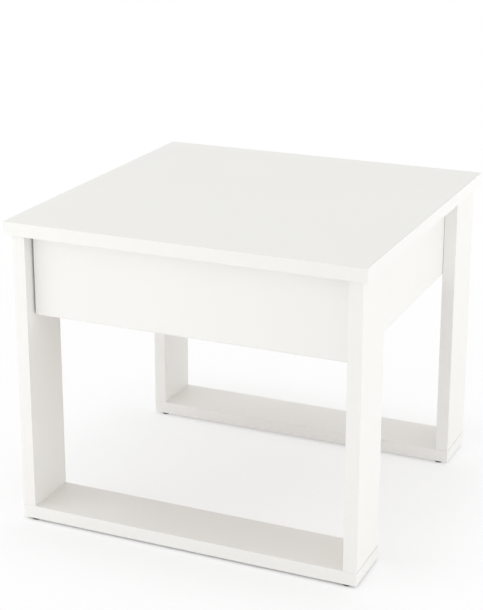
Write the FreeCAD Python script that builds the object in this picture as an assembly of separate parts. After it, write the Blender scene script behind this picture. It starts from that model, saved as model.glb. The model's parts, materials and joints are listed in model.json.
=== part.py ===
import FreeCAD, Part
import os

# A square coffee table of laminated board. Two U-shaped frames, one at the front and one at the back,
# carry the top: each is a pair of flat legs standing on a foot rail. Side panels and a back apron tie the
# frames together and enclose a drawer, whose inset front has no handle and is pulled by its lower edge.
# The drawer runs on a pair of steel roller runners, a channel on each side panel and an angle under each
# drawer side.
# Sizes are in millimetres: X to the right, Y to the back, Z up. The origin is on the floor under the
# middle of the top, and the drawer front faces -Y.

# Top
TABLE_HEIGHT = 512.0
TOP_WIDTH = 600.0
TOP_DEPTH = 600.0
TOP_THICK = 22.0
TOP_OVERHANG = 10.0         # past the outer faces of legs and rails, all round

# Frames
LEG_THICK = 22.0
LEG_DEPTH = 100.0
RAIL_THICK = 22.0
PAD_HEIGHT = 4.0
PAD_DIA = 16.0
PAD_EDGE = 1.0              # chamfer round the pad's lower face
PAD_END_INSET = 18.0        # pad centre to the end of the rail
PAD_SIDE_INSET = 11.0       # pad centre to the long edge of the rail

# Apron and drawer front
APRON_HEIGHT = 136.0
APRON_THICK = 16.0
BACK_SETBACK = 20.0         # back apron inside the legs' back edges
FRONT_SETBACK = 20.0        # drawer front inside the legs' front edges
FRONT_THICK = 16.0
FRONT_REVEAL = 3.0          # gap between drawer front and legs or top
FRONT_STOP_GAP = 2.0        # closed drawer front to the ends of the side panels

# Edge bands
BAND = 1.3                  # thickness on the boards that show
BAND_EASE = 0.5             # chamfer along the outer edges of a band
END_TRIM = 0.9              # bands on the ends of the foot rails, below the feet of the legs
BOX_BAND = 0.6              # thickness on the drawer box
BOX_BAND_EASE = 0.3

# Drawer box
BOX_THICK = 16.0
BOX_LIFT = 18.0             # box above the lower edge of the drawer front, which leaves the finger grip
BOX_HEADROOM = 25.0         # room under the top to tip the drawer in and out
BOX_REAR_ROOM = 58.0        # box to back apron
SHEET_THICK = 3.0
SHEET_LIFT = 11.0           # sheet above the lower edge of the box
SHEET_PLAY = 0.2            # sheet to the walls of its groove
GROOVE_DEPTH = 8.0

# Runners
RUNNER_GAP = 12.5           # drawer side to side panel
RUNNER_SHEET = 1.2          # steel thickness
RUNNER_INSET = 3.0          # channel behind the front end of the side panel
RUNNER_TAIL = 8.0           # channel past the closed drawer box
RUNNER_OVERLAP = 120.0      # box left inside the table when the drawer is fully open
CHANNEL_HEIGHT = 19.0       # clear height inside the channel
CHANNEL_LIFT = 1.0          # channel floor above the lower edge of the box
FLANGE_DROP = 2.2           # running face of the drawer angle below the channel's ceiling
FLANGE_CLEAR = 1.0          # edge of the drawer angle to the channel's web
LEDGE_WIDTH = 12.0          # part of the drawer angle under the drawer side
LIP_CLEAR = 0.7             # edges of the channel to the web of the drawer angle
STOP_HEIGHT = 5.0           # tab on the channel floor that stops the rear wheel
SLOT_COUNT = 3              # spare holes between the screws of a channel
SLOT_WIDTH = 4.2
SLOT_LENGTH = 9.0           # between the ends of a slot
WHEEL_PLAY = 0.3            # wheel to the faces it rolls between
WHEEL_DIP = 0.5             # front wheel below the channel floor
WHEEL_EASE = 0.6            # chamfer of a wheel's rims
WHEEL_RIM = 2.0             # thickness of a wheel's rim
WHEEL_HUB_DIA = 7.4
WHEEL_DISH = 1.2            # depth of a wheel's faces between hub and rim
FRONT_WHEEL_INSET = 15.0    # front wheel's axis to the channel's front end
REAR_WHEEL_INSET = 12.0     # rear wheel's axis to the rear end of the drawer angle
AXLE_DIA = 4.0
AXLE_PLAY = 0.05            # running fit of a wheel on its axle, radial
AXLE_HEAD_DIA = 6.4
AXLE_HEAD = 0.6
AXLE_COLLAR = 0.8           # spacer between web and wheel
AXLE_END_PLAY = 0.2         # wheel to collar and wheel to head
PASSING_CLEAR = 0.5         # pieces that pass each other as the drawer slides

# Fittings
FIT = 0.1                   # fitting in its hole, radial
HOLE_END = 0.5              # hole past the end of its fitting
FRAME_SCREW = {"diameter": 7.0, "length": 50.0, "head_diameter": 10.0}
FRAME_SCREW_SPACING = 44.0  # two screws in the end of each leg
PANEL_SCREW = {"diameter": 4.0, "length": 32.0, "head_diameter": 8.0}
PANEL_SCREW_INSET = 14.0    # screw to the inner edge of the leg
PANEL_SCREW_DROP = 60.0     # screw below the top
CHANNEL_SCREW = {"diameter": 5.0, "length": 13.0, "head_diameter": 8.0, "head_height": 1.8}
CHANNEL_SCREW_INSET = 60.0  # outer screws to the ends of the channel
ANGLE_SCREW = {"diameter": 3.5, "length": 13.0, "head_diameter": 6.0, "head_height": 1.2}
ANGLE_SCREW_INSET = 90.0    # outer screws to the ends of the drawer angle
ANGLE_SCREW_LIFT = 5.5      # screw above the lower edge of the box
DOWEL_DIA = 8.0
DOWEL_LENGTH = 30.0
DOWEL_IN_FACE = 12.0        # dowel's depth in the board that it enters through a face
APRON_DOWEL_INSET = 32.0    # dowel to the upper or lower edge of the back apron
CAM_DIA = 15.0
CAM_DEPTH = 12.0
CAM_REACH = 34.0            # cam's axis to the joint
CAM_SPACING = 240.0         # two cams along each side panel
BOLT_DIA = 6.0
BOLT_IN_FACE = 11.0         # threaded length in the board without the cam
BOLT_NECK_DIA = 3.6
BOLT_NECK = 4.0
BOLT_HEAD = 2.5             # head past the cam's axis
BOLT_PASSAGE_DIA = 8.0

# Planes that follow from the sizes above
OUTER_X = TOP_WIDTH / 2 - TOP_OVERHANG
OUTER_Y = TOP_DEPTH / 2 - TOP_OVERHANG
INNER_X = OUTER_X - LEG_THICK
INNER_Y = OUTER_Y - LEG_DEPTH
UNDER_TOP = TABLE_HEIGHT - TOP_THICK
RAIL_TOP = PAD_HEIGHT + RAIL_THICK
APRON_BOTTOM = UNDER_TOP - APRON_HEIGHT
PANEL_X = INNER_X - APRON_THICK
FRONT_FACE = FRONT_SETBACK - OUTER_Y
FRONT_BACK = FRONT_FACE + FRONT_THICK
APRON_FACE = OUTER_Y - BACK_SETBACK - APRON_THICK
BOX_OUT = PANEL_X - RUNNER_GAP
BOX_IN = BOX_OUT - BOX_THICK
BOX_BOTTOM = APRON_BOTTOM + BOX_LIFT
BOX_TOP = UNDER_TOP - BOX_HEADROOM
BOX_REAR = APRON_FACE - BOX_REAR_ROOM
SHEET_BOTTOM = BOX_BOTTOM + SHEET_LIFT
CHANNEL_FLOOR = BOX_BOTTOM + CHANNEL_LIFT
CHANNEL_CEILING = CHANNEL_FLOOR + CHANNEL_HEIGHT
CHANNEL_FRONT = FRONT_BACK + FRONT_STOP_GAP + RUNNER_INSET
CHANNEL_REAR = BOX_REAR + RUNNER_TAIL
ANGLE_FRONT = FRONT_BACK + FRONT_STOP_GAP
FLANGE_UNDER = CHANNEL_CEILING - FLANGE_DROP
TRAVEL = BOX_REAR - FRONT_BACK - RUNNER_OVERLAP
REAR_WHEEL_RADIUS = CHANNEL_HEIGHT / 2 - WHEEL_PLAY
FRONT_WHEEL_RADIUS = (FLANGE_UNDER - WHEEL_PLAY - CHANNEL_FLOOR + WHEEL_DIP) / 2
AXLE_START = RUNNER_SHEET + AXLE_COLLAR + AXLE_END_PLAY
AXLE_FINISH = AXLE_END_PLAY + AXLE_HEAD + PASSING_CLEAR + CHANNEL_SCREW["head_height"] + RUNNER_SHEET
WHEEL_WIDTH = RUNNER_GAP - AXLE_START - AXLE_FINISH

V = FreeCAD.Vector
X_AXIS = V(1, 0, 0)
Y_AXIS = V(0, 1, 0)
Z_AXIS = V(0, 0, 1)
SIDES = (("left", -1), ("right", 1))
ENDS = (("front", -1), ("back", 1))

drilled = {}                # node name to a board or profile that the fittings pass through
whole = {}                  # node name to the solids that are kept as they are
holes = []                  # what is cut from every drilled piece that it reaches


def sided(sign, near, far):
    """The span from near to far on the positive or the negative side of an axis."""
    return (near, far) if sign > 0 else (-far, -near)


def grown(span, play):
    """A span with play added at both ends."""
    return (span[0] - play, span[1] + play)


def block(x, y, z):
    """A box that fills three spans."""
    return Part.makeBox(x[1] - x[0], y[1] - y[0], z[1] - z[0], V(x[0], y[0], z[0]))


def turned(outline):
    """A solid of revolution about Z from (radius, height) corners."""
    points = [V(radius, 0, height) for radius, height in outline]
    return Part.Face(Part.makePolygon(points + points[:1])).revolve(V(), Z_AXIS, 360)


def aimed(shape, at, along):
    """A copy of a shape drawn about Z, with its origin at a point and its Z along a direction."""
    copy = shape.copy()
    copy.Placement = FreeCAD.Placement(at, FreeCAD.Rotation(Z_AXIS, along))
    return copy


def keep(name, *solids):
    """Adds solids to a node."""
    whole.setdefault(name, []).extend(solids)


def eased(strip, face, earlier, covered, ease):
    """A band with its outer long edges chamfered, and its corners over the earlier bands.

    An edge on a side that is covered stays sharp, and so does a cut end that meets another board.
    """
    box = strip.BoundBox
    low = (box.XMin, box.YMin, box.ZMin)
    high = (box.XMax, box.YMax, box.ZMax)
    limits = {"-x": low[0], "-y": low[1], "-z": low[2], "+x": high[0], "+y": high[1], "+z": high[2]}
    long_axis = max(range(3), key=lambda axis: high[axis] - low[axis])
    edges = []
    for edge in strip.Edges:
        middle = edge.CenterOfMass
        touched = {name for name, limit in limits.items() if abs(middle["xyz".index(name[1])] - limit) < 1e-6}
        if face not in touched:
            continue
        neighbour = (touched - {face}).pop()
        along_band = long_axis not in ("xyz".index(face[1]), "xyz".index(neighbour[1]))
        if neighbour in earlier or (along_band and neighbour not in covered):
            edges.append(edge)
    return strip.makeChamfer(ease, edges)


def lay_board(name, x, y, z, banded, band=BAND, ease=BAND_EASE, bands_name=None, end_trim=0.0):
    """A board and its edge bands, which fill the spans together.

    banded lists the faces with a band in the order of gluing: a later band covers the ends of those
    before it. Where end_trim is given, the bands on X faces stop short by it of what stands on the board.
    """
    low = [x[0], y[0], z[0]]
    high = [x[1], y[1], z[1]]
    for face in banded:
        axis = "xyz".index(face[1])
        if face[0] == "-":
            low[axis] += band
        else:
            high[axis] -= band
    drilled[name] = block(*zip(low, high))
    for count, face in enumerate(banded):
        axis = "xyz".index(face[1])
        strip_low = list(low)
        strip_high = list(high)
        if face[0] == "-":
            strip_high[axis] = low[axis]
            strip_low[axis] = low[axis] = low[axis] - band
        else:
            strip_low[axis] = high[axis]
            strip_high[axis] = high[axis] = high[axis] + band
        covered = banded[count + 1:]
        if axis == 0 and end_trim:
            strip_high[2] -= end_trim
            covered = covered + ["+z"]
        strip = block(*zip(strip_low, strip_high))
        keep(bands_name or name + "_bands", eased(strip, face, banded[:count], covered, ease))


def fasten(name, fitting, at, along):
    """Adds one fitting to a node, and its hole to the list of holes."""
    solid, hole = fitting
    keep(name, aimed(solid, at, along))
    holes.append(aimed(hole, at, along))


def countersunk_screw(diameter, length, head_diameter):
    """A screw that points along Z from its flush head, and its hole."""
    radius = diameter / 2
    head_radius = head_diameter / 2
    cone = head_radius - radius
    end = length + HOLE_END
    solid = turned([(0, 0), (head_radius, 0), (radius, cone), (radius, length), (0, length)])
    hole = turned([(0, 0), (head_radius + FIT, 0), (radius + FIT, cone), (radius + FIT, end), (0, end)])
    return solid, hole


def flat_head_screw(diameter, length, head_diameter, head_height):
    """A screw that points along Z, with its head below the origin, and its hole."""
    radius = diameter / 2
    head_radius = head_diameter / 2
    solid = turned([(0, -head_height), (head_radius, -head_height), (head_radius, 0), (radius, 0),
                    (radius, length), (0, length)])
    hole = Part.makeCylinder(radius + FIT, length + HOLE_END)
    return solid, hole


def dowel():
    """A wooden dowel along Z, and its hole, which is longer at both ends."""
    solid = Part.makeCylinder(DOWEL_DIA / 2, DOWEL_LENGTH)
    hole = Part.makeCylinder(DOWEL_DIA / 2 + FIT, DOWEL_LENGTH + 2 * HOLE_END, V(0, 0, -HOLE_END))
    return solid, hole


def cam_joint(lock_name, bolt_name, at, along, inset):
    """A bolt in the face of one board, and the cam lock that draws it into the edge of another.

    at is the bolt's place on the joint and along its direction. inset is the way from the mouth of the
    cam's hole to the bolt, which runs down the middle of that board's thickness.
    """
    shank = BOLT_DIA / 2
    neck = BOLT_NECK_DIA / 2
    neck_start = CAM_REACH - BOLT_NECK
    bolt_end = CAM_REACH + BOLT_HEAD
    bolt = turned([(0, -BOLT_IN_FACE), (shank, -BOLT_IN_FACE), (shank, neck_start), (neck, neck_start),
                   (neck, CAM_REACH), (shank, CAM_REACH), (shank, bolt_end), (0, bolt_end)])
    thread = Part.makeCylinder(shank + FIT, BOLT_IN_FACE + HOLE_END, V(0, 0, -BOLT_IN_FACE - HOLE_END))
    passage = Part.makeCylinder(BOLT_PASSAGE_DIA / 2, bolt_end + HOLE_END)
    across = (-BOLT_PASSAGE_DIA / 2, BOLT_PASSAGE_DIA / 2)
    slot = block(across, across, (0, bolt_end + HOLE_END))
    keep(bolt_name, aimed(bolt, at, along))
    mouth = at + along * CAM_REACH - inset
    cam = aimed(Part.makeCylinder(CAM_DIA / 2, CAM_DEPTH), mouth, inset)
    keep(lock_name, cam.cut(aimed(slot, at, along)).Solids[0])
    holes.append(aimed(thread, at, along))
    holes.append(aimed(passage, at, along))
    holes.append(aimed(Part.makeCylinder(CAM_DIA / 2 + FIT, CAM_DEPTH + HOLE_END), mouth, inset))


def top():
    """The top board, banded on all four edges."""
    lay_board("top_panel", (-TOP_WIDTH / 2, TOP_WIDTH / 2), (-TOP_DEPTH / 2, TOP_DEPTH / 2),
              (UNDER_TOP, TABLE_HEIGHT), ["-x", "+x", "-y", "+y"])


def frames():
    """Legs on their foot rails, with the screws, dowels and floor pads."""
    radius = PAD_DIA / 2
    pad = turned([(0, 0), (radius - PAD_EDGE, 0), (radius, PAD_EDGE), (radius, PAD_HEIGHT), (0, PAD_HEIGHT)])
    frame_screw = countersunk_screw(**FRAME_SCREW)
    leg_x = (INNER_X + OUTER_X) / 2
    leg_y = (INNER_Y + OUTER_Y) / 2
    pad_x = OUTER_X - PAD_END_INSET
    for end_name, end in ENDS:
        rail_y = sided(end, INNER_Y, OUTER_Y)
        lay_board(end_name + "_foot_rail", (-OUTER_X, OUTER_X), rail_y, (PAD_HEIGHT, RAIL_TOP),
                  ["-x", "+x", "-y", "+y"], end_trim=END_TRIM)
        for side_name, side in SIDES:
            lay_board(f"{end_name}_{side_name}_leg", sided(side, INNER_X, OUTER_X), rail_y,
                      (RAIL_TOP, UNDER_TOP), ["-y", "+y"])
            for shift in (-FRAME_SCREW_SPACING / 2, FRAME_SCREW_SPACING / 2):
                foot = V(side * leg_x, end * leg_y + shift, PAD_HEIGHT)
                fasten("frame_screws", frame_screw, foot, Z_AXIS)
            head = V(side * leg_x, end * leg_y, UNDER_TOP + DOWEL_IN_FACE)
            fasten("top_dowels", dowel(), head, -Z_AXIS)
            for pad_y in (INNER_Y + PAD_SIDE_INSET, OUTER_Y - PAD_SIDE_INSET):
                keep("floor_pads", aimed(pad, V(side * pad_x, end * pad_y, 0), Z_AXIS))


def aprons():
    """Side panels and back apron, with the fittings that hold them to legs and top."""
    height = (APRON_BOTTOM, UNDER_TOP)
    lay_board("back_apron", (-INNER_X, INNER_X), (APRON_FACE, APRON_FACE + APRON_THICK), height, ["-z"])
    panel_screw = countersunk_screw(**PANEL_SCREW)
    screw_y = INNER_Y + PANEL_SCREW_INSET
    for side_name, side in SIDES:
        outwards = X_AXIS * side
        lay_board(side_name + "_side_panel", sided(side, PANEL_X, INNER_X),
                  (FRONT_BACK + FRONT_STOP_GAP, APRON_FACE), height, ["-z", "-y"])
        for end_name, end in ENDS:
            place = V(side * PANEL_X, end * screw_y, UNDER_TOP - PANEL_SCREW_DROP)
            fasten("side_panel_screws", panel_screw, place, outwards)
            joint = V(side * (PANEL_X + APRON_THICK / 2), end * CAM_SPACING / 2, UNDER_TOP)
            cam_joint("cam_locks", "cam_bolts", joint, -Z_AXIS, outwards * (APRON_THICK / 2))
        for dowel_z in (APRON_BOTTOM + APRON_DOWEL_INSET, UNDER_TOP - APRON_DOWEL_INSET):
            seat = V(side * (INNER_X + DOWEL_IN_FACE), APRON_FACE + APRON_THICK / 2, dowel_z)
            fasten("apron_dowels", dowel(), seat, -outwards)


def drawer():
    """The drawer front, and a box of boards round a grooved-in bottom sheet."""
    front_x = INNER_X - FRONT_REVEAL
    lay_board("drawer_front", (-front_x, front_x), (FRONT_FACE, FRONT_BACK),
              (APRON_BOTTOM, UNDER_TOP - FRONT_REVEAL), ["-x", "+x", "-z", "+z"])
    height = (BOX_BOTTOM, BOX_TOP)
    lay_board("drawer_back", (-BOX_IN, BOX_IN), (BOX_REAR - BOX_THICK, BOX_REAR), height, ["+z"],
              BOX_BAND, BOX_BAND_EASE, "drawer_box_bands")
    back_screw = countersunk_screw(**FRAME_SCREW)
    middle_z = (SHEET_BOTTOM + SHEET_THICK + BOX_TOP) / 2
    for side_name, side in SIDES:
        outwards = X_AXIS * side
        lay_board(f"drawer_{side_name}_side", sided(side, BOX_IN, BOX_OUT), (FRONT_BACK, BOX_REAR), height,
                  ["+z"], BOX_BAND, BOX_BAND_EASE, "drawer_box_bands")
        joint = V(side * (BOX_IN + BOX_THICK / 2), FRONT_BACK, middle_z)
        cam_joint("drawer_cam_locks", "drawer_cam_bolts", joint, Y_AXIS, outwards * (BOX_THICK / 2))
        place = V(side * BOX_OUT, BOX_REAR - BOX_THICK / 2, middle_z)
        fasten("drawer_back_screws", back_screw, place, -outwards)

    sheet_x = (-BOX_IN - GROOVE_DEPTH, BOX_IN + GROOVE_DEPTH)
    sheet_y = (FRONT_BACK - GROOVE_DEPTH, BOX_REAR - BOX_THICK + GROOVE_DEPTH)
    sheet_z = (SHEET_BOTTOM, SHEET_BOTTOM + SHEET_THICK)
    holes.append(block(sheet_x, sheet_y, grown(sheet_z, SHEET_PLAY)))
    keep("drawer_bottom", block(grown(sheet_x, -SHEET_PLAY), grown(sheet_y, -SHEET_PLAY), sheet_z))


def bent_profile(outline, start, end, bends):
    """A sheet steel profile along Y from (x, z) corners, rounded at the corners listed as bends."""
    points = [V(x, start, z) for x, z in outline]
    bar = Part.Face(Part.makePolygon(points + points[:1])).extrude(V(0, end - start, 0))
    edges = []
    for edge in bar.Edges:
        middle = edge.CenterOfMass
        if any(abs(middle.x - x) + abs(middle.z - z) < 1e-6 for x, z in bends):
            edges.append(edge)
    return bar.makeFillet(RUNNER_SHEET, edges)


def slotted_hole(middle):
    """What a hole along Y with round ends takes from a web that starts at its middle."""
    radius = SLOT_WIDTH / 2
    half = SLOT_LENGTH / 2 - radius
    slot = block((middle.x, middle.x + RUNNER_SHEET), (middle.y - half, middle.y + half),
                 (middle.z - radius, middle.z + radius))
    for shift in (-half, half):
        slot = slot.fuse(Part.makeCylinder(radius, RUNNER_SHEET, middle + Y_AXIS * shift, X_AXIS))
    return slot.removeSplitter()


def channel_profile():
    """The right channel: a C open to the drawer, cut away for the front wheel, with a stop tab."""
    lip = BOX_OUT + RUNNER_SHEET + LIP_CLEAR
    web = PANEL_X - RUNNER_SHEET
    bottom = CHANNEL_FLOOR - RUNNER_SHEET
    crown = CHANNEL_CEILING + RUNNER_SHEET
    outline = [(PANEL_X, bottom), (PANEL_X, crown), (lip, crown), (lip, CHANNEL_CEILING),
               (web, CHANNEL_CEILING), (web, CHANNEL_FLOOR), (lip, CHANNEL_FLOOR), (lip, bottom)]
    bar = bent_profile(outline, CHANNEL_FRONT, CHANNEL_REAR, [(PANEL_X, bottom), (PANEL_X, crown)])
    floor_start = CHANNEL_FRONT + FRONT_WHEEL_INSET + FRONT_WHEEL_RADIUS + PASSING_CLEAR
    bar = bar.cut(block((lip, web), (CHANNEL_FRONT, floor_start), (bottom, CHANNEL_FLOOR)))
    open_wheel_y = BOX_REAR - REAR_WHEEL_INSET - TRAVEL
    wheel_over_tab = CHANNEL_HEIGHT / 2 - STOP_HEIGHT
    reach = (REAR_WHEEL_RADIUS ** 2 - wheel_over_tab ** 2) ** 0.5
    stop_y = open_wheel_y - reach - PASSING_CLEAR
    tab_x = (BOX_OUT + RUNNER_SHEET + ANGLE_SCREW["head_height"] + PASSING_CLEAR, web)
    tab = block(tab_x, (stop_y - RUNNER_SHEET, stop_y), (CHANNEL_FLOOR, CHANNEL_FLOOR + STOP_HEIGHT))
    bar = bar.fuse(tab).removeSplitter()
    first = CHANNEL_FRONT + CHANNEL_SCREW_INSET
    pitch = (CHANNEL_REAR - CHANNEL_SCREW_INSET - first) / (SLOT_COUNT + 1)
    for count in range(SLOT_COUNT):
        middle = V(web, first + (count + 1) * pitch, CHANNEL_FLOOR + CHANNEL_HEIGHT / 2)
        bar = bar.cut(slotted_hole(middle))
    return bar.Solids[0]


def angle_profile():
    """The right drawer angle: a ledge under the drawer side, a web, and a flange that runs on the wheel."""
    web = BOX_OUT + RUNNER_SHEET
    bottom = BOX_BOTTOM - RUNNER_SHEET
    edge = PANEL_X - RUNNER_SHEET - FLANGE_CLEAR
    crown = FLANGE_UNDER + RUNNER_SHEET
    outline = [(BOX_OUT - LEDGE_WIDTH, bottom), (web, bottom), (web, FLANGE_UNDER), (edge, FLANGE_UNDER),
               (edge, crown), (BOX_OUT, crown), (BOX_OUT, BOX_BOTTOM), (BOX_OUT - LEDGE_WIDTH, BOX_BOTTOM)]
    bar = bent_profile(outline, ANGLE_FRONT, BOX_REAR, [(web, bottom), (BOX_OUT, crown)])
    notch_start = BOX_REAR - REAR_WHEEL_INSET - REAR_WHEEL_RADIUS - PASSING_CLEAR
    return bar.cut(block((web, edge), (notch_start, BOX_REAR), (FLANGE_UNDER, crown))).Solids[0]


def wheel(radius):
    """A runner wheel along Z from its inner face, dished between hub and rim on both faces."""
    bore = AXLE_DIA / 2 + AXLE_PLAY
    hub = WHEEL_HUB_DIA / 2
    inside = radius - WHEEL_RIM
    face = [(bore, 0), (hub, 0), (hub, WHEEL_DISH), (inside, WHEEL_DISH), (inside, 0),
            (radius - WHEEL_EASE, 0), (radius, WHEEL_EASE)]
    return turned(face + [(reach, WHEEL_WIDTH - height) for reach, height in reversed(face)])


def axle():
    """A riveted axle along Z from the back of its web, and its hole in the web."""
    radius = AXLE_DIA / 2
    head = AXLE_HEAD_DIA / 2
    shoulder = RUNNER_SHEET + AXLE_COLLAR
    tip = AXLE_START + WHEEL_WIDTH + AXLE_END_PLAY
    solid = turned([(0, 0), (radius, 0), (radius, RUNNER_SHEET), (head, RUNNER_SHEET), (head, shoulder),
                    (radius, shoulder), (radius, tip), (head, tip), (head, tip + AXLE_HEAD),
                    (0, tip + AXLE_HEAD)])
    hole = Part.makeCylinder(radius + FIT, RUNNER_SHEET)
    return solid, hole


def runners():
    """Channels, drawer angles, wheels, axles and screws, on both sides."""
    channel_screw = flat_head_screw(**CHANNEL_SCREW)
    angle_screw = flat_head_screw(**ANGLE_SCREW)
    front_y = CHANNEL_FRONT + FRONT_WHEEL_INSET
    front_z = FLANGE_UNDER - WHEEL_PLAY - FRONT_WHEEL_RADIUS
    rear_y = BOX_REAR - REAR_WHEEL_INSET
    rear_z = CHANNEL_FLOOR + CHANNEL_HEIGHT / 2
    for side_name, side in SIDES:
        outwards = X_AXIS * side
        for name, profile in (("channel", channel_profile()), ("drawer_angle", angle_profile())):
            drilled[f"{side_name}_{name}"] = profile if side > 0 else profile.mirror(V(), X_AXIS)

        front = V(side * PANEL_X, front_y, front_z)
        fasten("front_axles", axle(), front, -outwards)
        front_wheel = aimed(wheel(FRONT_WHEEL_RADIUS), front - outwards * AXLE_START, -outwards)
        keep(side_name + "_front_wheel", front_wheel)
        rear = V(side * BOX_OUT, rear_y, rear_z)
        fasten("rear_axles", axle(), rear, outwards)
        rear_wheel = aimed(wheel(REAR_WHEEL_RADIUS), rear + outwards * AXLE_START, outwards)
        keep(side_name + "_rear_wheel", rear_wheel)

        for y in (CHANNEL_FRONT + CHANNEL_SCREW_INSET, CHANNEL_REAR - CHANNEL_SCREW_INSET):
            seat = V(side * (PANEL_X - RUNNER_SHEET), y, rear_z)
            fasten("channel_screws", channel_screw, seat, outwards)
        for y in (ANGLE_FRONT + ANGLE_SCREW_INSET, BOX_REAR - ANGLE_SCREW_INSET):
            seat = V(side * (BOX_OUT + RUNNER_SHEET), y, BOX_BOTTOM + ANGLE_SCREW_LIFT)
            fasten("angle_screws", angle_screw, seat, -outwards)


def drill():
    """Cuts the holes from every board and profile that they reach."""
    for name, solid in drilled.items():
        reached = [hole for hole in holes if solid.BoundBox.intersect(hole.BoundBox)]
        cut = solid.cut(reached) if reached else solid
        keep(name, cut.Solids[0])


top()
frames()
aprons()
drawer()
runners()
drill()

os.makedirs("parts", exist_ok=True)
for node, solids in whole.items():
    shape = solids[0] if len(solids) == 1 else Part.makeCompound(solids)
    shape.exportStep(f"parts/{node}.step")
print(len(whole), "nodes,", sum(len(solids) for solids in whole.values()), "solids, drawer travel", TRAVEL)
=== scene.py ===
import json
import math

import bmesh
import bpy
from mathutils import Matrix, Vector


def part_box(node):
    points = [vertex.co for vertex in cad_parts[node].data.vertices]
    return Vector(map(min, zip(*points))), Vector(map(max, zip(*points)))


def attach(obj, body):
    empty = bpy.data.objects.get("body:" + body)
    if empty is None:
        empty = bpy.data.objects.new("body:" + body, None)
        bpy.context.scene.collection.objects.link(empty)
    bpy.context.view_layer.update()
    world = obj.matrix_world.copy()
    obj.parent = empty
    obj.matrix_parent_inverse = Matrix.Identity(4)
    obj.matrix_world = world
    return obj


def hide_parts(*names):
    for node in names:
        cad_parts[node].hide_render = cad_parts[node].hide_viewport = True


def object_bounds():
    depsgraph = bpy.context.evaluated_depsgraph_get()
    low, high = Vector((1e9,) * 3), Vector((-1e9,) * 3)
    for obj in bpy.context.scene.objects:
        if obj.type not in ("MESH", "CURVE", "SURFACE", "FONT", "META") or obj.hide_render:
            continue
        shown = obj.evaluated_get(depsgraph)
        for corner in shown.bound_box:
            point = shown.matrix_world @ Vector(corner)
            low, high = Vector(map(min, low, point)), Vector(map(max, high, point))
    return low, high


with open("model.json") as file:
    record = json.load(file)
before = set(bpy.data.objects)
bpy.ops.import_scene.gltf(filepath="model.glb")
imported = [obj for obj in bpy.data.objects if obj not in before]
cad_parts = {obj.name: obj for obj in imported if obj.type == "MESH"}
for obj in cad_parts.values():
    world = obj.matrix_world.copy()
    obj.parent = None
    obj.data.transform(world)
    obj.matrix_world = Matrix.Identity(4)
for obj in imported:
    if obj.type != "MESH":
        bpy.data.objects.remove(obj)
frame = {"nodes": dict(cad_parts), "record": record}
cad_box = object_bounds()
nodes = frame["nodes"]
slots = {part["node"]: part["material_slot"] for part in frame["record"]["subparts"]}

# Lengths are in metres, in the frame of the part: X to the right, Y to the back, Z up.
X_AXIS = 0
Z_AXIS = 2
LOW_END = -1                # ends of a box along an axis
HIGH_END = 1

# Camera
PHOTO_HEIGHT = 610          # pixels
FOCAL_LENGTH = 1536.6       # pixels of the photograph
CAMERA_AT = Vector((0.963, -2.251, 1.170))
CAMERA_YAW = math.radians(23.72)
CAMERA_PITCH = math.radians(16.85)
SENSOR = 36.0               # millimetres along the height of the picture
SHIFT_UP = -0.10            # lens shift over the height of the picture

# Softened edges of the boards, bands and profiles
BOARD_EDGE = 0.00018
BAND_EDGE = 0.00025
STEEL_EDGE = 0.0002
EDGES = {
    "white_board": BOARD_EDGE,
    "white_band": BAND_EDGE,
    "white_steel": STEEL_EDGE,
    "hardboard": BOARD_EDGE,
}
TOO_THIN = {"drawer_box_bands"}     # nodes whose edges stay sharp
EDGE_SEGMENTS = 2
WELD = 0.00001              # vertices closer than this are joined
SHARP = math.radians(30)    # edges that turn by more than this are sharp

# Turned fittings
SEGMENTS = 48               # round a full turn
ARC_STEPS = 4               # along a quarter round
DECIMALS = 6                # to which the corners that meet in a CAD mesh agree
TINY = 1e-9                 # keeps a division clear of zero

# Screws
FRAME_SHANK = 0.007         # diameters
PANEL_SHANK = 0.004
CHANNEL_SHANK = 0.005
ANGLE_SHANK = 0.0035
COUNTERSUNK = 0.0           # heights of the heads above what they hold
CHANNEL_HEAD = 0.0018
ANGLE_HEAD = 0.0012
HEAD_FLAT = 0.96            # where the rim of a head begins, over the head's radius
HEAD_RIM = 0.0003           # depth of the rim of a countersunk head
SOCKET_HEX = 0.004          # across the flats of a hexagon socket
SOCKET_DEPTH = 0.0025
SOCKET_MOUTH = 1.1          # size of the socket at the face, over its size inside
SOCKET_BEVEL = 0.0002       # depth of the slope between the two
SOCKET_TIP = 0.35           # radius of the tip over that of the shank
CROSS_DEEPEST = 0.0022      # depth of a cross recess, at most
CROSS_DEPTH = 0.5           # sizes of a cross recess, over the head's radius
CROSS_LENGTH = 1.15
CROSS_WIDTH = 0.28
CROSS_FLOOR_LENGTH = 0.7
CROSS_FLOOR_WIDTH = 0.18
CROSS_FLAT = 0.82           # where the face of the head begins to fall, over the head's radius
CROSS_FALL = 0.35           # fall of the face at its rim, over the head's height
CROSS_FALL_ADDED = 0.0001   # and what every head falls besides
CROSS_SIDE = 0.8            # depth from which a head is widest, over its height
CROSS_TIP = 0.3             # radius of the tip over that of the shank

# Cam locks
CAM_FORMED = 0.004          # depth of the form, the rest of the cam is hidden in its pocket
CAM_EDGE = 0.0004
CAM_SLOT_DEPTH = 0.003
CAM_SLOT_LENGTH = 1.1       # sizes of the cross slot, over the cam's radius
CAM_SLOT_WIDTH = 0.26
CAM_GROOVE_INNER = 0.72     # radii of the ring groove, over the cam's radius
CAM_GROOVE_OUTER = 0.84
CAM_GROOVE_WALL = 0.02      # width of each sloping wall of the groove, over the cam's radius
CAM_GROOVE_DEPTH = 0.0003

# Floor pads
PAD_ROUND = 0.0012
PAD_DIMPLE = 0.0003         # depth of the dimple in the underside
PAD_DIMPLE_INNER = 0.25     # radii at its floor and at its rim, over the pad's radius
PAD_DIMPLE_OUTER = 0.32

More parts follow.
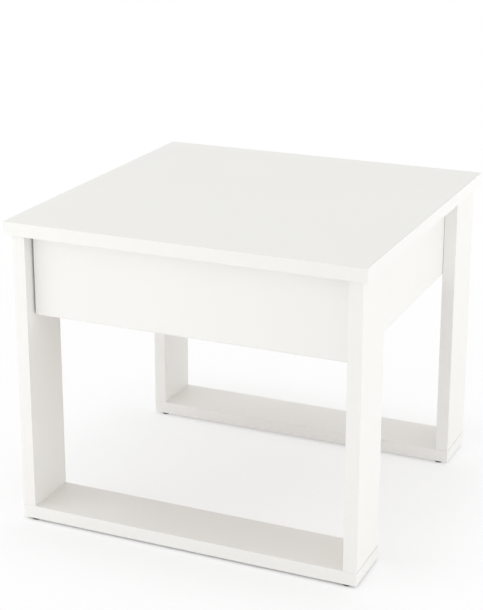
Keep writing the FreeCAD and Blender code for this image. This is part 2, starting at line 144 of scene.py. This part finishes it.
# Wheels and axles
AXLE_SHANK = 0.004          # diameter
AXLE_HEAD = 0.0006
AXLE_DOME = 0.0005          # height of the domed part of the head
AXLE_COLLAR = 0.0008
RUNNER_SHEET = 0.0012       # thickness of the steel that an axle is riveted to
BORE_PLAY = 0.0001          # between the shank and the bore of a wheel
WHEEL_ROUND = 0.0008
WHEEL_ROUND_MIDDLE = 0.3    # how far the middle of the rounding is from tread and face, over WHEEL_ROUND
WHEEL_DISH = 0.0012         # depth of a wheel's faces between hub and rim
WHEEL_RIM = 0.002
WHEEL_HUB = 0.0037          # radius
WHEEL_DRAFT = 0.0003
WHEEL_RIBS = 6
WHEEL_RIB_SHARE = 0.2       # of the turn from one rib to the next
WHEEL_RIB_DROP = 0.0004     # ribs below the faces of hub and rim

# Painted shade in narrow joints: a dark colour laid where neighbours are near
JOINT_SHADE_COLOUR = (0.10, 0.09, 0.08)
JOINT_SHADE_REACH = 0.0016         # how near a neighbour has to be
JOINT_SHADE_DEEP = 0.30            # clear share of the view at which the painted shade is darkest
JOINT_SHADE_OPEN = 0.45            # clear share of the view at which it ends
JOINT_SHADE_MOST = 0.85            # how much of the colour the painted shade covers where it is darkest

# Finishes: the two ends of the range of each colour and roughness, and the depth of each relief
LAMINATE_DEEP = (0.885, 0.878, 0.848)
LAMINATE_PALE = (0.905, 0.899, 0.870)
LAMINATE_ROUGHNESS = (0.42, 0.54)
LAMINATE_RELIEF = 0.000014
CHIP_DEEP = (0.24, 0.15, 0.08)
CHIP_PALE = (0.56, 0.41, 0.25)
CHIP_STRETCH = (0.45, 0.45, 1.4)    # scales along X, Y and Z, for chips that are thinnest along Z
CHIP_RELIEF = 0.00018
BAND_DEEP = (0.880, 0.874, 0.846)
BAND_PALE = (0.905, 0.899, 0.872)
BAND_WORN = (0.84, 0.83, 0.805)
BAND_ROUGHNESS = (0.36, 0.46)
BAND_RELIEF = 0.00003
RUB_WIDTH = 0.0006          # how far from an edge a band is rubbed
RUB_TURN = (0.75, 0.99)     # cosine of the turn towards the edge where rubbing is full, and where it ends
RUB_PATCHES = (0.45, 0.75)  # noise at which rubbing begins, and is full
RUB_MOST = 0.35
RUB_POLISH = 0.3            # roughness that full rubbing would take away
PAINT_DEEP = (0.80, 0.795, 0.77)
PAINT_PALE = (0.83, 0.825, 0.80)
PAINT_ROUGHNESS = 0.5
FIBRE_DEEP = (0.20, 0.115, 0.06)
FIBRE_PALE = (0.30, 0.185, 0.10)
FIBRE_ROUGHNESS = 0.85
FIBRE_RELIEF = 0.00015
BEECH_DEEP = (0.46, 0.29, 0.15)
BEECH_PALE = (0.60, 0.41, 0.24)
BEECH_STRETCH = (1.0, 1.0, 0.08)    # scales along X, Y and Z, for flecks that run along Z
BEECH_ROUGHNESS = (0.5, 0.7)
BEECH_RELIEF = 0.0001
POWDER_DEEP = (0.77, 0.77, 0.75)
POWDER_PALE = (0.81, 0.81, 0.79)
POWDER_ROUGHNESS = (0.28, 0.40)
POWDER_RELIEF = 0.00012
ZINC_DEEP = (0.44, 0.46, 0.50)
ZINC_PALE = (0.62, 0.64, 0.67)
ZINC_ROUGHNESS = (0.24, 0.40)
CASTING_DEEP = (0.30, 0.30, 0.31)
CASTING_PALE = (0.46, 0.46, 0.47)
CASTING_ROUGHNESS = (0.38, 0.55)
METAL_RELIEF = 0.00003
METAL_GRAIN = 4             # how much finer the relief of a metal is than its mottle
NYLON_DEEP = (0.76, 0.76, 0.73)
NYLON_PALE = (0.82, 0.82, 0.80)
NYLON_ROUGHNESS = (0.30, 0.42)
NYLON_RELIEF = 0.00004
RUBBER_DEEP = (0.012, 0.012, 0.012)
RUBBER_PALE = (0.05, 0.05, 0.048)
RUBBER_ROUGHNESS = (0.65, 0.9)
RUBBER_RELIEF = 0.0001

# Floor and surroundings
BLACK = (0.0, 0.0, 0.0)
PLAIN_WHITE = (1.0, 1.0, 1.0, 1.0)
FLOOR_SIZE = 60.0
FLOOR_COLOUR = (0.96, 0.96, 0.965)
# painted light: the floor glows plain white to the eye, less under and near the table, which paints a soft
# shadow round it
FLOOR_UNDER = 0.60          # share of plain white in what is seen of the floor under the table
FLOOR_BESIDE = 0.86         # and beside it
FLOOR_MARGIN = 0.18         # width of the strip round the table where the one fades to the other
FLOOR_NEAR = 0.6            # distance from the middle at which the floor begins to fade to plain white
FLOOR_FAR = 1.5             # and at which it is plain white
GAP_REACH = 0.015           # how near the table has to be for the floor to take painted contact shadow
GAP_DEEP = 0.05             # clear share of the view at which the painted contact shadow is deepest
GAP_OPEN = 0.8              # clear share of the view at which it is as light as elsewhere
GAP_FRONT = 0.0             # part of its plain white that the floor keeps in the deepest painted contact shadow at the table's front
GAP_BACK = 0.88             # and at its back
HORIZON = 0.78              # strength of the light from the horizon and from below it
ZENITH = 0.95               # and from overhead

# Node trees
MIX_FIRST = 6               # the colour sockets of a Mix node, by number
MIX_SECOND = 7
MIX_RESULT = 2
FACING = 0.9                # least part of a normal along an axis that counts as facing along it
VIEW_SAMPLES = 8            # rays by which a surface looks for its neighbours


class Tree:
    """The node tree of a material or world, with short calls for the nodes that are used again."""

    def __init__(self, owner, shader="Principled BSDF"):
        owner.use_nodes = True
        self.owner = owner
        self.nodes = owner.node_tree.nodes
        self.links = owner.node_tree.links
        self.shader = self.nodes[shader]
        coordinates = self.nodes.new("ShaderNodeTexCoord")
        self.place = coordinates.outputs["Object"]
        self.facing = coordinates.outputs["Normal"]
        self.direction = coordinates.outputs["Generated"]

    def add(self, kind, inputs, **settings):
        """A node with its settings, and its inputs linked or set."""
        node = self.nodes.new(kind)
        for name, value in settings.items():
            setattr(node, name, value)
        for name, value in inputs.items():
            if isinstance(value, bpy.types.NodeSocket):
                self.links.new(value, node.inputs[name])
            else:
                node.inputs[name].default_value = value
        return node

    def stretched(self, scales):
        """Object coordinates scaled along each axis."""
        return self.add("ShaderNodeMapping", {"Vector": self.place, "Scale": scales}).outputs["Vector"]

    def noise(self, scale, detail, place=None):
        """Noise from 0 to 1, with features about one metre over scale across."""
        inputs = {"Vector": place or self.place, "Scale": scale, "Detail": detail}
        return self.add("ShaderNodeTexNoise", inputs).outputs["Fac"]

    def cells(self, scale, place):
        """The random colour of each cell of a Voronoi pattern."""
        return self.add("ShaderNodeTexVoronoi", {"Vector": place, "Scale": scale}).outputs["Color"]

    def span(self, value, low, high, start=0.0, end=1.0, curve="LINEAR"):
        """A value mapped from the range of start and end to that of low and high, held at the ends."""
        inputs = {"Value": value, "From Min": start, "From Max": end, "To Min": low, "To Max": high}
        return self.add("ShaderNodeMapRange", inputs, interpolation_type=curve).outputs["Result"]

    def ease(self, value, low, high, start, end):
        """A value mapped as span does, in a smooth curve."""
        return self.span(value, low, high, start, end, curve="SMOOTHSTEP")

    def math(self, operation, first, second):
        """A sum, product or comparison."""
        return self.add("ShaderNodeMath", {0: first, 1: second}, operation=operation).outputs["Value"]

    def vector(self, operation, first, second=(0.0, 0.0, 0.0), output="Vector"):
        """A difference, product, limit or length of vectors."""
        return self.add("ShaderNodeVectorMath", {0: first, 1: second}, operation=operation).outputs[output]

    def part(self, vector, axis):
        """The part of a vector along one axis."""
        return self.add("ShaderNodeSeparateXYZ", {"Vector": vector}).outputs[axis]

    def mix(self, factor, first, second):
        """A blend of two colours, each a socket or an (r, g, b)."""
        inputs = {"Factor": factor}
        for number, colour in ((MIX_FIRST, first), (MIX_SECOND, second)):
            inputs[number] = (*colour, 1.0) if isinstance(colour, tuple) else colour
        return self.add("ShaderNodeMix", inputs, data_type="RGBA").outputs[MIX_RESULT]

    def height(self, value, depth=1.0, strength=1.0):
        """A bump of a given depth, which is 1 where the value itself is in metres."""
        inputs = {"Height": value, "Distance": depth, "Strength": strength}
        return self.add("ShaderNodeBump", inputs).outputs["Normal"]

    def faces(self, axis, sign):
        """1 on the surfaces that face along an axis, 0 elsewhere."""
        along = self.math("MULTIPLY", self.part(self.facing, axis), sign)
        return self.math("GREATER_THAN", along, FACING)

    def clear_view(self, reach):
        """The share of the view from a surface that nothing within reach blocks."""
        inputs = {"Distance": reach}
        return self.add("ShaderNodeAmbientOcclusion", inputs, samples=VIEW_SAMPLES).outputs["AO"]

    def with_joint_shade(self, colour):
        """A colour darkened by painted shade in narrow joints."""
        # painted shade: the colour turns dark where neighbours within reach block the view
        cover = self.span(self.clear_view(JOINT_SHADE_REACH), JOINT_SHADE_MOST, 0.0, JOINT_SHADE_DEEP, JOINT_SHADE_OPEN)
        return self.mix(cover, colour, JOINT_SHADE_COLOUR)

    def seen_directly(self):
        """1 for the rays that show the surroundings: from the camera, or by way of gloss or glass."""
        path = self.add("ShaderNodeLightPath", {}).outputs
        shown = self.math("MAXIMUM", path["Is Camera Ray"], path["Is Glossy Ray"])
        return self.math("MAXIMUM", shown, path["Is Transmission Ray"])

    def finish(self, colour, roughness, bump):
        """Links the layers of a finish to the shader, and gives the material."""
        for name, value in (("Base Color", colour), ("Roughness", roughness), ("Normal", bump)):
            self.links.new(value, self.shader.inputs[name])
        return self.owner


def material_tree(name):
    """The tree of a new material."""
    return Tree(bpy.data.materials.new(name))


# Finishes


def laminate_layers(tree):
    """Colour, roughness and relief in metres of matt white melamine paper."""
    colour = tree.mix(tree.noise(scale=5.0, detail=3.0), LAMINATE_DEEP, LAMINATE_PALE)
    roughness = tree.span(tree.noise(scale=60.0, detail=3.0), *LAMINATE_ROUGHNESS)
    relief = tree.math("MULTIPLY", tree.noise(scale=1600.0, detail=3.0), LAMINATE_RELIEF)
    return colour, roughness, relief


def white_laminate():
    """A board faced with matt white melamine paper."""
    tree = material_tree("white_laminate")
    colour, roughness, relief = laminate_layers(tree)
    # the laminate colour carries painted shade in its joints
    return tree.finish(tree.with_joint_shade(colour), roughness, tree.height(relief))


def chipboard_layers(tree):
    """Colour and relief in metres of the cut edge of a chipboard."""
    cells = tree.cells(scale=520.0, place=tree.stretched(CHIP_STRETCH))
    chips = tree.add("ShaderNodeSeparateColor", {"Color": cells}).outputs["Red"]
    fines = tree.noise(scale=1500.0, detail=3.0)
    mean = tree.math("MULTIPLY", tree.math("ADD", chips, fines), 0.5)
    return tree.mix(mean, CHIP_DEEP, CHIP_PALE), tree.math("MULTIPLY", mean, CHIP_RELIEF)


def cut_laminate(name, first, second):
    """A board with white faces, and bare chipboard on the faces that look along two directions."""
    tree = material_tree(name)
    colour, roughness, relief = laminate_layers(tree)
    chips, grit = chipboard_layers(tree)
    bare = tree.math("MAXIMUM", tree.faces(*first), tree.faces(*second))
    uneven = tree.math("ADD", relief, tree.math("MULTIPLY", grit, bare))
    # the laminate colour carries painted shade in its joints
    return tree.finish(tree.mix(bare, tree.with_joint_shade(colour), chips),
                       tree.math("MAXIMUM", roughness, bare),
                       tree.height(uneven))


def edge_band():
    """A satin plastic band with rubbed edges."""
    tree = material_tree("edge_band")
    rounded = tree.add("ShaderNodeBevel", {"Radius": RUB_WIDTH}).outputs["Normal"]
    flat = tree.add("ShaderNodeNewGeometry", {}).outputs["Normal"]
    edge = tree.span(tree.vector("DOT_PRODUCT", rounded, flat, "Value"), 1.0, 0.0, *RUB_TURN)
    patches = tree.span(tree.noise(scale=180.0, detail=4.0), 0.0, RUB_MOST, *RUB_PATCHES)
    rubbed = tree.math("MULTIPLY", edge, patches)
    colour = tree.mix(tree.noise(scale=40.0, detail=3.0), BAND_DEEP, BAND_PALE)
    roughness = tree.span(tree.noise(scale=90.0, detail=3.0), *BAND_ROUGHNESS)
    # the band colour carries painted shade in its joints
    return tree.finish(tree.with_joint_shade(tree.mix(rubbed, colour, BAND_WORN)),
                       tree.math("SUBTRACT", roughness, tree.math("MULTIPLY", rubbed, RUB_POLISH)),
                       tree.height(tree.noise(scale=1400.0, detail=2.0), BAND_RELIEF, strength=0.25))


def hardboard():
    """A thin fibre sheet: white paint above, brown fibre with its screen marks below."""
    tree = material_tree("hardboard")
    above = tree.faces("Z", 1)
    fibres = tree.noise(scale=700.0, detail=6.0)
    brown = tree.mix(fibres, FIBRE_DEEP, FIBRE_PALE)
    painted = tree.mix(tree.noise(scale=8.0, detail=3.0), PAINT_DEEP, PAINT_PALE)
    screen = tree.add("ShaderNodeTexChecker", {"Vector": tree.place, "Scale": 700.0}).outputs["Fac"]
    marks = tree.math("MULTIPLY", screen, tree.math("SUBTRACT", 1.0, above))
    return tree.finish(tree.mix(above, brown, painted),
                       tree.span(above, FIBRE_ROUGHNESS, PAINT_ROUGHNESS),
                       tree.height(tree.math("ADD", fibres, marks), FIBRE_RELIEF, strength=0.5))


def beech():
    """Bare beech with its short dark flecks along Z."""
    tree = material_tree("beech")
    grain = tree.noise(scale=500.0, detail=4.0, place=tree.stretched(BEECH_STRETCH))
    return tree.finish(tree.mix(grain, BEECH_DEEP, BEECH_PALE),
                       tree.span(grain, *BEECH_ROUGHNESS),
                       tree.height(grain, BEECH_RELIEF, strength=0.4))


def powder_coat():
    """White epoxy powder on steel, with its orange peel."""
    tree = material_tree("powder_coat")
    peel = tree.noise(scale=520.0, detail=2.0)
    return tree.finish(tree.mix(tree.noise(scale=14.0, detail=3.0), POWDER_DEEP, POWDER_PALE),
                       tree.span(peel, *POWDER_ROUGHNESS),
                       tree.height(peel, POWDER_RELIEF, strength=0.3))


def metal(name, deep, pale, roughness, scale):
    """Plated or cast metal with a mottled sheen."""
    tree = material_tree(name)
    tree.shader.inputs["Metallic"].default_value = 1.0
    mottle = tree.noise(scale, detail=4.0)
    grain = tree.noise(scale * METAL_GRAIN, detail=2.0)
    return tree.finish(tree.mix(mottle, deep, pale),
                       tree.span(mottle, *roughness),
                       tree.height(grain, METAL_RELIEF, strength=0.4))


def nylon():
    """Moulded white nylon with tool marks."""
    tree = material_tree("nylon")
    marks = tree.noise(scale=900.0, detail=3.0)
    return tree.finish(tree.mix(tree.noise(scale=120.0, detail=2.0), NYLON_DEEP, NYLON_PALE),
                       tree.span(marks, *NYLON_ROUGHNESS),
                       tree.height(marks, NYLON_RELIEF, strength=0.3))


def rubber():
    """Matt black rubber with a pale bloom of dust."""
    tree = material_tree("rubber")
    bloom = tree.noise(scale=350.0, detail=4.0)
    return tree.finish(tree.mix(bloom, RUBBER_DEEP, RUBBER_PALE),
                       tree.span(bloom, *RUBBER_ROUGHNESS),
                       tree.height(tree.noise(scale=1200.0, detail=3.0), RUBBER_RELIEF, strength=0.5))


finishes = {
    "white_board": white_laminate(),
    "white_band": edge_band(),
    "hardboard": hardboard(),
    "dowel_wood": beech(),
    "white_steel": powder_coat(),
    "zinc_steel": metal("zinc_plate", ZINC_DEEP, ZINC_PALE, ZINC_ROUGHNESS, scale=260.0),
    "cam_zinc": metal("zinc_casting", CASTING_DEEP, CASTING_PALE, CASTING_ROUGHNESS, scale=420.0),
    "white_nylon": nylon(),
    "black_pad": rubber(),
}
drawer_board = cut_laminate("drawer_laminate", ("Z", -1), ("Y", 1))
leg_board = cut_laminate("leg_laminate", ("Z", -1), ("Z", 1))
rail_board = cut_laminate("rail_laminate", ("X", -1), ("X", 1))
cut_boards = {
    "drawer_left_side": drawer_board,
    "drawer_right_side": drawer_board,
    "drawer_back": drawer_board,
    "front_left_leg": leg_board,
    "front_right_leg": leg_board,
    "back_left_leg": leg_board,
    "back_right_leg": leg_board,
    "front_foot_rail": rail_board,
    "back_foot_rail": rail_board,
}


# Boards, bands and profiles


def soften(piece, width):
    """Rounds the sharp edges of a CAD piece."""
    weld = piece.modifiers.new("weld", "WELD")
    weld.merge_threshold = WELD
    bevel = piece.modifiers.new("soft_edges", "BEVEL")
    bevel.width = width
    bevel.segments = EDGE_SEGMENTS
    bevel.limit_method = "ANGLE"
    bevel.angle_limit = SHARP
    bevel.harden_normals = True


def dress_nodes():
    """Gives every CAD node its finish, and the boards, bands and profiles softened edges."""
    for name, piece in nodes.items():
        piece.data.materials.clear()
        piece.data.materials.append(cut_boards.get(name, finishes[slots[name]]))
        if slots[name] in EDGES and name not in TOO_THIN:
            soften(piece, EDGES[slots[name]])


# Turned forms


def solids(node):
    """The boxes of the separate solids in a CAD node, as (lowest corner, highest corner)."""
    mesh = nodes[node].data
    owner = {}

    def root(key):
        while owner[key] != key:
            key = owner[key]
        return key

    keys = [tuple(round(c, DECIMALS) for c in vertex.co) for vertex in mesh.vertices]
    for key in keys:
        owner.setdefault(key, key)
    for polygon in mesh.polygons:
        first, *others = polygon.vertices
        for other in others:
            owner[root(keys[other])] = root(keys[first])
    groups = {}
    for key in owner:
        groups.setdefault(root(key), []).append(key)
    boxes = []
    for points in groups.values():
        axes = list(zip(*points))
        boxes.append((Vector([min(axis) for axis in axes]), Vector([max(axis) for axis in axes])))
    return sorted(boxes, key=lambda box: tuple(box[0]))


def hexagon(across):
    """The outline of a hexagon as a radius for each angle."""
    return lambda angle: across / 2 / math.cos(angle % (math.pi / 3) - math.pi / 6)


def cross(length, width):
    """The outline of a cross as a radius for each angle."""
    def radius(angle):
        c = abs(math.cos(angle)) + TINY
        s = abs(math.sin(angle)) + TINY
        return max(min(length / 2 / c, width / 2 / s), min(width / 2 / c, length / 2 / s))
    return radius


def quarter_turn(first_step=0):
    """The angles of a quarter turn, from a step on."""
    return [step * math.pi / 2 / ARC_STEPS for step in range(first_step, ARC_STEPS + 1)]


def at_angle(size, angle):
    """A size that is a number, or a function of the angle about the axis."""
    return size(angle) if callable(size) else size


def turn(shape, profile, place, loop=False):
    """Adds to a bmesh a closed form about local Z, from (radius, height) pairs.

    The pairs run from one point on the axis to another, or round a loop.
    """
    rings = []
    for radius, height in profile:
        if radius == 0:
            rings.append([shape.verts.new(place @ Vector((0, 0, height)))])
            continue
        ring = []
        for step in range(SEGMENTS):
            angle = 2 * math.pi * step / SEGMENTS
            reach = at_angle(radius, angle)
            point = Vector((reach * math.cos(angle), reach * math.sin(angle), at_angle(height, angle)))
            ring.append(shape.verts.new(place @ point))
        rings.append(ring)
    if loop:
        rings.append(rings[0])
    for lower, upper in zip(rings, rings[1:]):
        for step in range(SEGMENTS):
            following = (step + 1) % SEGMENTS
            corners = [lower[step % len(lower)], lower[following % len(lower)],
                       upper[following % len(upper)], upper[step % len(upper)]]
            unique = list(dict.fromkeys(corners))
            if len(unique) > 2:
                shape.faces.new(unique)


def settle(shape, node, body):
    """Makes the piece that stands for a CAD node from a bmesh."""
    bmesh.ops.recalc_face_normals(shape, faces=shape.faces)
    mesh = bpy.data.meshes.new(node + "_detail")
    shape.to_mesh(mesh)
    shape.free()
    mesh.polygons.foreach_set("use_smooth", [True] * len(mesh.polygons))
    mesh.set_sharp_from_angle(angle=SHARP)
    mesh.materials.append(finishes[slots[node]])
    piece = bpy.data.objects.new(node + "_detail", mesh)
    bpy.context.scene.collection.objects.link(piece)
    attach(piece, body)
    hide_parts(node)


def aim(box, axis, end):
    """A place with its origin in the middle of one end of a box, and Z running into the box."""
    low, high = box
    at = (low + high) / 2
    at[axis] = high[axis] if end == HIGH_END else low[axis]
    direction = Vector((0, 0, 0))
    direction[axis] = -end
    return Matrix.Translation(at) @ direction.to_track_quat("Z", "Y").to_matrix().to_4x4()


def inner_end(box):
    """The end along X that is nearer to the middle of the table."""
    low, high = box
    return LOW_END if low.x + high.x > 0 else HIGH_END


def outer_end(box):
    """The end along X that is farther from the middle of the table."""
    return -inner_end(box)


def lower_end(box):
    """The low end, wherever the box is."""
    return LOW_END


def fittings(node, body, axis, end, profile):
    """Replaces each solid of a node by a turned form that starts at one end of the solid.

    profile takes the length and the largest radius of the solid.
    """
    shape = bmesh.new()
    for box in solids(node):
        low, high = box
        size = high - low
        radius = max(size[other] for other in range(3) if other != axis) / 2
        turn(shape, profile(size[axis], radius), aim(box, axis, end(box)))
    settle(shape, node, body)


def socket_screw(shank):
    """The profile of a countersunk screw with a hexagon socket."""
    def profile(length, head):
        radius = shank / 2
        hollow = hexagon(SOCKET_HEX)
        mouth = hexagon(SOCKET_HEX * SOCKET_MOUTH)
        face = [(0, SOCKET_DEPTH), (hollow, SOCKET_DEPTH), (hollow, SOCKET_BEVEL), (mouth, 0)]
        under = [(head * HEAD_FLAT, 0), (head, HEAD_RIM), (radius, head - radius)]
        return face + under + [(radius, length - radius), (radius * SOCKET_TIP, length), (0, length)]
    return profile


def cross_screw(shank, head_height):
    """The profile of a screw with a cross recess: countersunk, or flat under a head of the given height."""
    def profile(length, head):
        radius = shank / 2
        depth = min(CROSS_DEEPEST, head * CROSS_DEPTH)
        mouth = cross(head * CROSS_LENGTH, head * CROSS_WIDTH)
        floor = cross(head * CROSS_FLOOR_LENGTH, head * CROSS_FLOOR_WIDTH)
        fall = head_height * CROSS_FALL + CROSS_FALL_ADDED
        face = [(0, depth), (floor, depth), (mouth, 0), (head * CROSS_FLAT, 0), (head * HEAD_FLAT, fall)]
        if head_height == COUNTERSUNK:
            under = [(head, HEAD_RIM), (radius, head - radius)]
        else:
            under = [(head, head_height * CROSS_SIDE), (head, head_height), (radius, head_height)]
        return face + under + [(radius, length - shank), (radius * CROSS_TIP, length), (0, length)]
    return profile


def cam_profile(length, radius):
    """The profile of a cam lock with a cross slot and a ring groove in its face, whatever its length."""
    slot = cross(radius * CAM_SLOT_LENGTH, radius * CAM_SLOT_WIDTH)
    inner = radius * CAM_GROOVE_INNER
    outer = radius * CAM_GROOVE_OUTER
    wall = radius * CAM_GROOVE_WALL
    face = [(0, CAM_SLOT_DEPTH), (slot, CAM_SLOT_DEPTH), (slot, 0)]
    groove = [(inner, 0), (inner + wall, CAM_GROOVE_DEPTH), (outer - wall, CAM_GROOVE_DEPTH), (outer, 0)]
    side = [(radius - CAM_EDGE, 0), (radius, CAM_EDGE), (radius, CAM_FORMED), (0, CAM_FORMED)]
    return face + groove + side


def pad_profile(length, radius):
    """The profile of a pad, from the floor up."""
    dimple = [(0, PAD_DIMPLE), (radius * PAD_DIMPLE_INNER, PAD_DIMPLE), (radius * PAD_DIMPLE_OUTER, 0)]
    flat = radius - PAD_ROUND
    rounding = [(flat + PAD_ROUND * math.sin(angle), PAD_ROUND - PAD_ROUND * math.cos(angle))
                for angle in quarter_turn()]
    return dimple + rounding + [(radius, length), (0, length)]


def axle_profile(length, radius):
    """The profile of a riveted axle, from the head that holds the wheel."""
    shank = AXLE_SHANK / 2
    collar_end = length - RUNNER_SHEET
    collar_start = collar_end - AXLE_COLLAR
    top = [(0, AXLE_HEAD - AXLE_DOME)]
    dome = [(radius * math.sin(angle), AXLE_HEAD - AXLE_DOME * math.cos(angle))
            for angle in quarter_turn(first_step=1)]
    collar = [(shank, collar_start), (radius, collar_start), (radius, collar_end), (shank, collar_end)]
    return top + dome + [(shank, AXLE_HEAD)] + collar + [(shank, length), (0, length)]


def ribbed(rib, web):
    """A height that takes one value on the ribs of a wheel and another between them."""
    return lambda angle: rib if angle * WHEEL_RIBS / (2 * math.pi) % 1 < WHEEL_RIB_SHARE else web


def wheel_profile(length, radius):
    """The profile of a runner wheel round its bore: hub, ribbed web and rim, alike on both faces."""
    bore = AXLE_SHANK / 2 + BORE_PLAY
    inside = radius - WHEEL_RIM
    middle = WHEEL_ROUND * WHEEL_ROUND_MIDDLE
    hub = [(bore, 0, 0), (WHEEL_HUB, 0, 0)]
    web = [(reach, WHEEL_RIB_DROP, WHEEL_DISH) for reach in (WHEEL_HUB + WHEEL_DRAFT, inside - WHEEL_DRAFT)]
    rim = [(inside, 0, 0), (radius - WHEEL_ROUND, 0, 0), (radius - middle, middle, middle),
           (radius, WHEEL_ROUND, WHEEL_ROUND)]
    half = hub + web + rim
    near = [(reach, ribbed(rib, gap)) for reach, rib, gap in half]
    far = [(reach, ribbed(length - rib, length - gap)) for reach, rib, gap in half]
    return near + far[::-1]


def wheels():
    """Runner wheels with ribs across the dished faces."""
    for end_name, end in (("front", inner_end), ("rear", outer_end)):
        for side_name in ("left", "right"):
            node = f"{side_name}_{end_name}_wheel"
            shape = bmesh.new()
            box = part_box(node)
            low, high = box
            profile = wheel_profile(high.x - low.x, (high.z - low.z) / 2)
            turn(shape, profile, aim(box, X_AXIS, end(box)), loop=True)
            settle(shape, node, node)


# Floor, light and camera


def lay_floor():
    """A white floor that keeps the shadow of the table, with painted shadow where its plain white glow is
    weaker near the table and painted contact shadow in the narrow gaps under it.
    """
    bpy.ops.mesh.primitive_plane_add(size=FLOOR_SIZE)
    floor = bpy.context.object
    floor.name = "floor"
    tree = material_tree("floor")
    corner = cad_box[1]
    past = tree.vector("SUBTRACT", tree.vector("ABSOLUTE", tree.place), (corner.x, corner.y, 0.0))
    beside = tree.vector("LENGTH", tree.vector("MAXIMUM", past), output="Value")
    # painted shadow: less plain white glow under the table and in a strip round it
    near = tree.ease(beside, FLOOR_UNDER, FLOOR_BESIDE, 0.0, FLOOR_MARGIN)
    far = tree.ease(tree.vector("LENGTH", tree.place, output="Value"), 0.0, 1.0, FLOOR_NEAR, FLOOR_FAR)
    glow = tree.math("MAXIMUM", near, far)
    # painted contact shadow: less plain white where the table is near, deeper at its front than at its back
    darkest = tree.span(tree.part(tree.place, "Y"), GAP_FRONT, GAP_BACK, -corner.y, corner.y)
    contact_shadow = tree.span(tree.clear_view(GAP_REACH), darkest, 1.0, GAP_DEEP, GAP_OPEN)
    share = tree.math("MULTIPLY", tree.math("MULTIPLY", glow, contact_shadow), tree.seen_directly())
    tree.shader.inputs["Roughness"].default_value = 1.0
    tree.shader.inputs["Specular IOR Level"].default_value = 0.0
    tree.shader.inputs["Emission Color"].default_value = PLAIN_WHITE
    tree.links.new(tree.mix(share, FLOOR_COLOUR, BLACK), tree.shader.inputs["Base Color"])
    tree.links.new(share, tree.shader.inputs["Emission Strength"])
    floor.data.materials.append(tree.owner)


def light_world():
    """White surroundings to the eye, and a weaker light on the table that is strongest from overhead."""
    world = bpy.data.worlds.new("studio")
    tree = Tree(world, "Background")
    ambient = tree.span(tree.part(tree.direction, "Z"), HORIZON, ZENITH)
    strength = tree.span(tree.seen_directly(), ambient, 1.0)
    tree.shader.inputs["Color"].default_value = PLAIN_WHITE
    tree.links.new(strength, tree.shader.inputs["Strength"])
    bpy.context.scene.world = world


def softbox(name, at, target, width, height, power):
    """A rectangular lamp that faces a point."""
    lamp = bpy.data.lights.new(name, "AREA")
    lamp.shape = "RECTANGLE"
    lamp.size = width
    lamp.size_y = height
    lamp.energy = power
    holder = bpy.data.objects.new(name, lamp)
    holder.visible_camera = False
    holder.location = at
    holder.rotation_euler = (Vector(target) - Vector(at)).to_track_quat("-Z", "Y").to_euler()
    bpy.context.scene.collection.objects.link(holder)


def place_camera():
    """The camera at the viewing angle of the photograph."""
    data = bpy.data.cameras.new("camera")
    data.sensor_width = SENSOR
    data.lens = FOCAL_LENGTH / PHOTO_HEIGHT * SENSOR
    data.shift_y = SHIFT_UP
    camera = bpy.data.objects.new("camera", data)
    camera.location = CAMERA_AT
    camera.rotation_euler = (math.pi / 2 - CAMERA_PITCH, 0, CAMERA_YAW)
    bpy.context.scene.collection.objects.link(camera)
    bpy.context.scene.camera = camera


dress_nodes()
fittings("frame_screws", "table", Z_AXIS, lower_end, socket_screw(FRAME_SHANK))
fittings("side_panel_screws", "table", X_AXIS, inner_end, cross_screw(PANEL_SHANK, COUNTERSUNK))
fittings("channel_screws", "table", X_AXIS, inner_end, cross_screw(CHANNEL_SHANK, CHANNEL_HEAD))
fittings("cam_locks", "table", X_AXIS, inner_end, cam_profile)
fittings("floor_pads", "table", Z_AXIS, lower_end, pad_profile)
fittings("front_axles", "table", X_AXIS, inner_end, axle_profile)
fittings("angle_screws", "drawer", X_AXIS, outer_end, cross_screw(ANGLE_SHANK, ANGLE_HEAD))
fittings("drawer_back_screws", "drawer", X_AXIS, outer_end, socket_screw(FRAME_SHANK))
fittings("drawer_cam_locks", "drawer", X_AXIS, inner_end, cam_profile)
fittings("rear_axles", "drawer", X_AXIS, outer_end, axle_profile)
wheels()

lay_floor()
light_world()
softbox("left", at=(-2.2, -1.5, 1.1), target=(-0.2, -0.25, 0.3), width=1.2, height=1.4, power=9.1)
softbox("near_left", at=(-0.75, -1.35, 0.5), target=(-0.15, -0.27, 0.35), width=0.7, height=0.7, power=1.4)
softbox("right", at=(2.3, -0.2, 0.5), target=(0.2, 0, 0.15), width=1.6, height=0.9, power=7.4)
softbox("back", at=(0, 2.4, 0.3), target=(0, 0, 0.1), width=2.4, height=0.5, power=7.7)
place_camera()
bpy.context.scene.view_settings.view_transform = "Standard"
